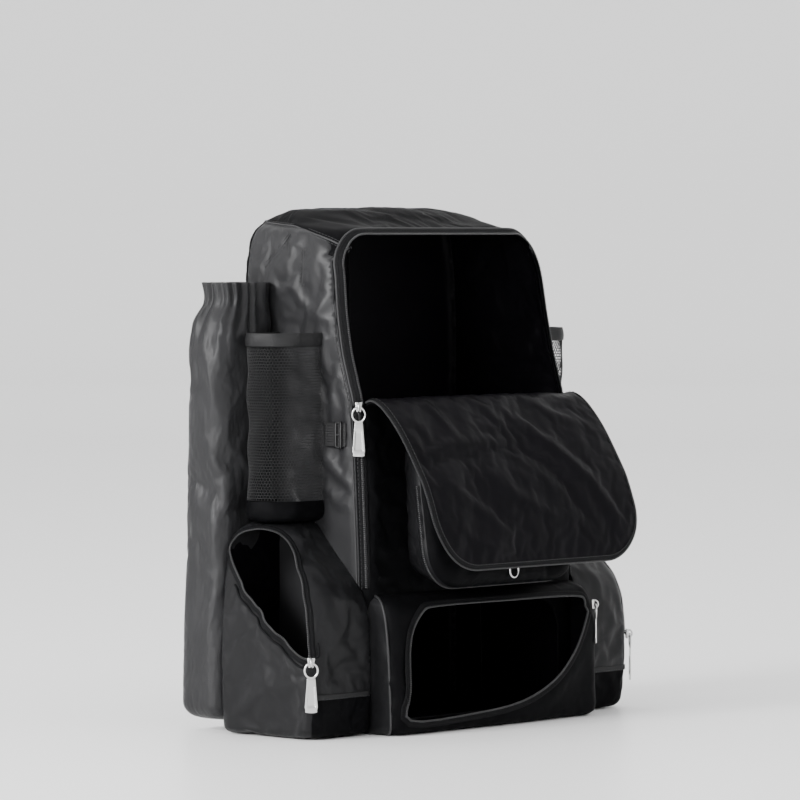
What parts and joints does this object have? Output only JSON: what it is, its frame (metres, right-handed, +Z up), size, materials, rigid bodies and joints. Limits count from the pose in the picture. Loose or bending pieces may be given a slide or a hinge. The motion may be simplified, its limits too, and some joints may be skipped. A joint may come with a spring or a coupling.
{
  "type": "sports equipment backpack",
  "caption": "Backpack for bats and ball-sport gear, standing with its front lid folded down, a shoe box below, and bottle, ball and bat pockets at its sides.",
  "frame": {"origin": "centre of the base, on the floor", "axes": "+Z up, the front with the lid faces -Y, the straps are at +Y, +X is to the right of someone who faces the front"},
  "size_m": [0.5416, 0.359, 0.565],
  "materials": {
    "side_cloth": "charcoal nylon, slightly shiny",
    "front_cloth": "black nylon",
    "lining": "dark satin lining",
    "net": "black knitted net",
    "webbing": "black woven webbing",
    "zip": "black zip tape and coil",
    "metal": "satin silver",
    "plastic": "black",
    "padding": "black air mesh over foam"
  },
  "bodies": {
    "bag": {"body_shell": "front_cloth", "compartment_shelf": "lining", "main_zip": "zip", "main_zip_closed_left": "zip", "main_zip_closed_right": "zip", "shoe_box": "side_cloth", "shoe_zip": "zip", "front_pocket": "front_cloth", "front_pocket_zip": "zip", "lid_panel": "front_cloth", "lid_lining": "lining", "lid_zip": "zip", "bat_sleeve_left": "side_cloth", "bottle_net_left": "net", "bottle_hem_left": "webbing", "bottle_cup_left": "front_cloth", "ball_pocket_left": "side_cloth", "ball_zip_left": "zip", "side_strap_left": "webbing", "side_ladder_lock_left": "plastic", "bat_sleeve_right": "side_cloth", "bottle_net_right": "net", "bottle_hem_right": "webbing", "bottle_cup_right": "front_cloth", "ball_pocket_right": "side_cloth", "ball_zip_right": "zip", "side_strap_right": "webbing", "side_ladder_lock_right": "plastic", "back_pad": "padding", "shoulder_pad_left": "padding", "strap_webbing_left": "webbing", "strap_ladder_lock_left": "plastic", "shoulder_pad_right": "padding", "strap_webbing_right": "webbing", "strap_ladder_lock_right": "plastic", "haul_loop": "webbing", "main_left_slider": "metal", "main_right_slider": "metal", "ball_left_slider": "metal", "ball_right_slider": "metal", "shoe_slider": "metal", "front_pocket_slider": "metal"},
    "main_left_pull": {"main_left_pull": "metal"},
    "main_right_pull": {"main_right_pull": "metal"},
    "ball_left_pull": {"ball_left_pull": "metal"},
    "ball_right_pull": {"ball_right_pull": "metal"},
    "shoe_pull": {"shoe_pull": "metal"},
    "front_pocket_pull": {"front_pocket_pull": "metal"}
  },
  "joints": [
    {"name": "main_left_pull_hinge", "type": "hinge", "parent": "bag", "child": "main_left_pull", "pos_m": [-0.1745, -0.08192, 0.351], "axis": [-0.669, 0.7433, 0], "range_deg": [0, 150]},
    {"name": "main_right_pull_hinge", "type": "hinge", "parent": "bag", "child": "main_right_pull", "pos_m": [0.1745, -0.08192, 0.351], "axis": [-0.669, -0.7433, 0], "range_deg": [0, 150]},
    {"name": "ball_left_pull_hinge", "type": "hinge", "parent": "bag", "child": "ball_left_pull", "pos_m": [-0.26448, -0.09629, 0.0834], "axis": [-0.7071, 0.7071, 0], "range_deg": [0, 150]},
    {"name": "ball_right_pull_hinge", "type": "hinge", "parent": "bag", "child": "ball_right_pull", "pos_m": [0.26448, -0.09629, 0.0834], "axis": [-0.7071, -0.7071, 0], "range_deg": [0, 150]},
    {"name": "shoe_pull_hinge", "type": "hinge", "parent": "bag", "child": "shoe_pull", "pos_m": [0.1642, -0.12943, 0.124], "axis": [-0.7071, -0.7071, 0], "range_deg": [0, 150]},
    {"name": "front_pocket_pull_hinge", "type": "hinge", "parent": "bag", "child": "front_pocket_pull", "pos_m": [0.001, -0.14999, 0.179], "axis": [-1, 0, 0], "range_deg": [0, 150]}
  ]
}
